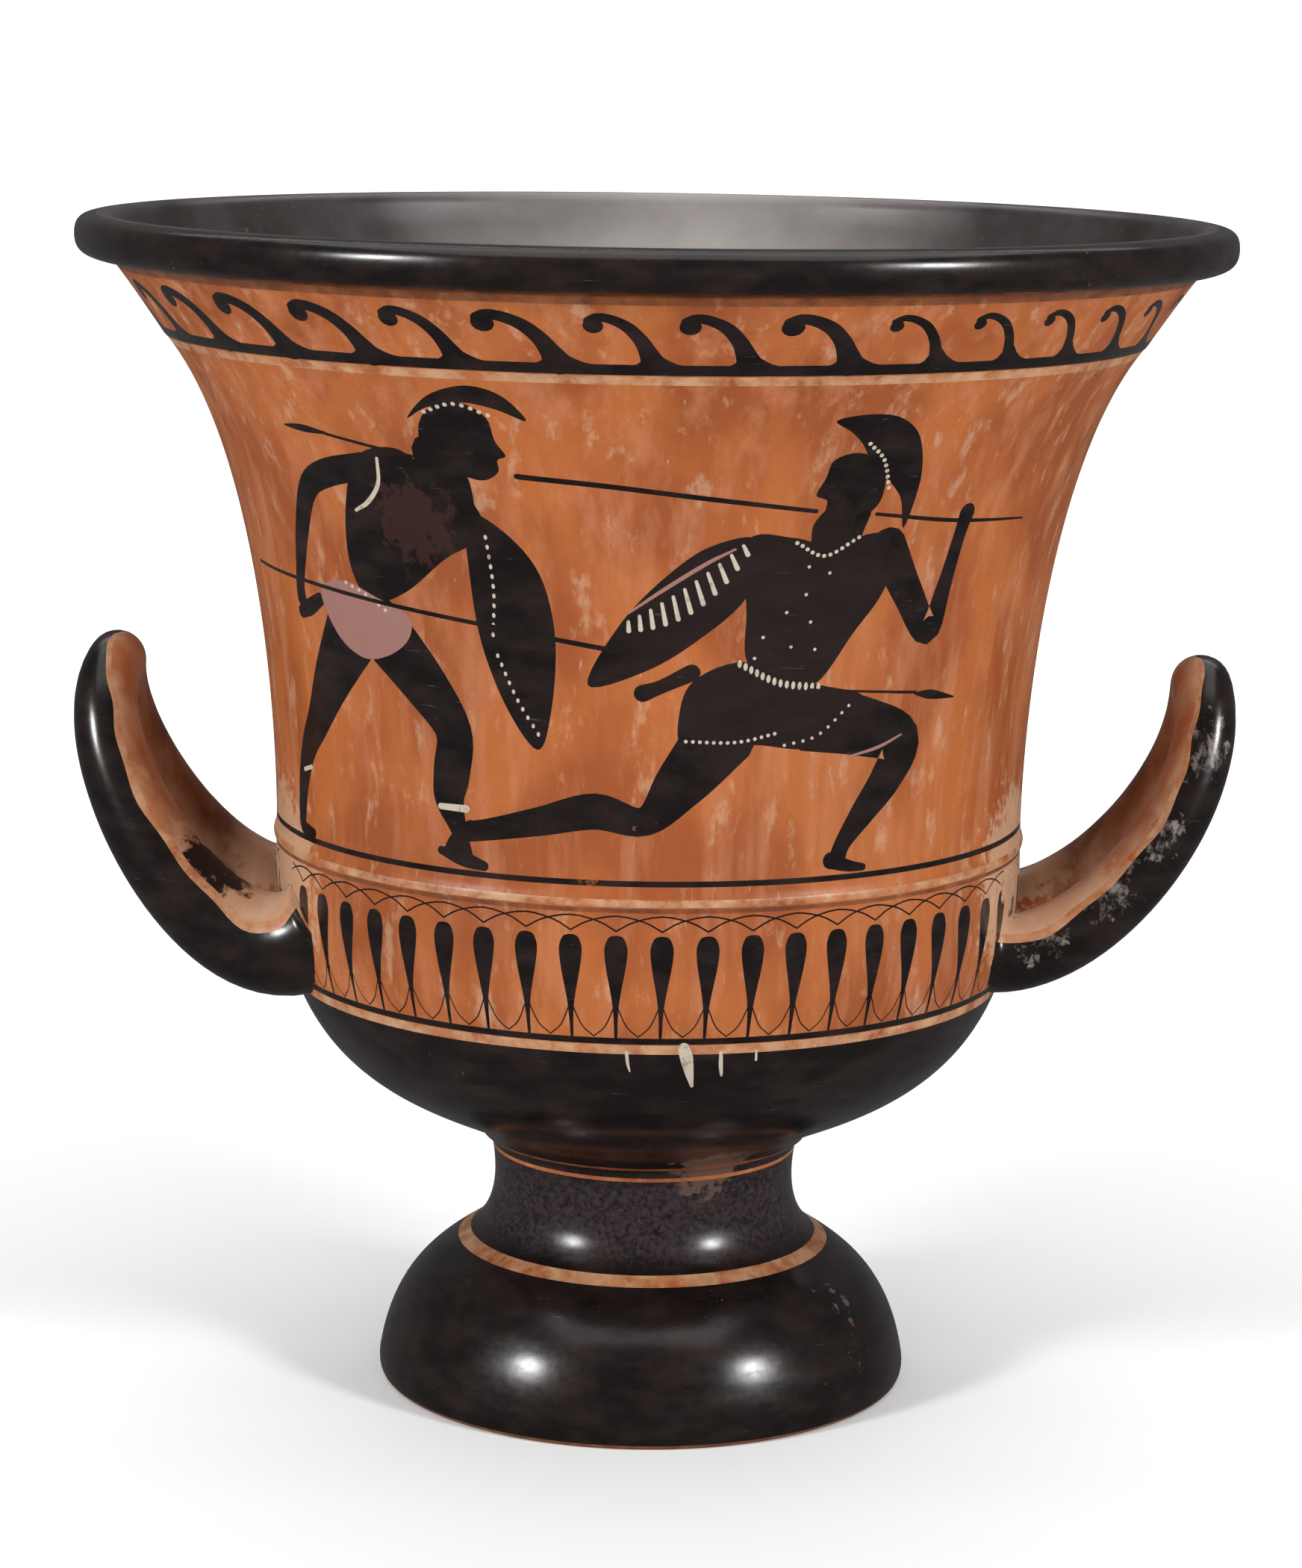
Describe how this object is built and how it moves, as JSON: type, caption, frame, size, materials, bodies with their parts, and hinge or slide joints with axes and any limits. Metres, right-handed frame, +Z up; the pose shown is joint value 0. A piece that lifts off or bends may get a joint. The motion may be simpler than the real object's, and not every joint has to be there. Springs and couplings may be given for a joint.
{
  "type": "calyx krater",
  "caption": "Ancient black-figure mixing bowl with a flaring body, overhanging lip, upturned side handles, short stem and moulded foot.",
  "frame": {"origin": "centre of the foot's resting ring", "axes": "+Z up along the pot's turning axis, +X towards the right-hand handle, -Y towards the main painted side"},
  "size_m": [0.3537, 0.348, 0.36],
  "materials": {
    "painted_clay": "black gloss slip over orange fired clay, semi-glossy, worn in places"
  },
  "bodies": {
    "root": {"krater": "painted_clay"}
  },
  "joints": []
}
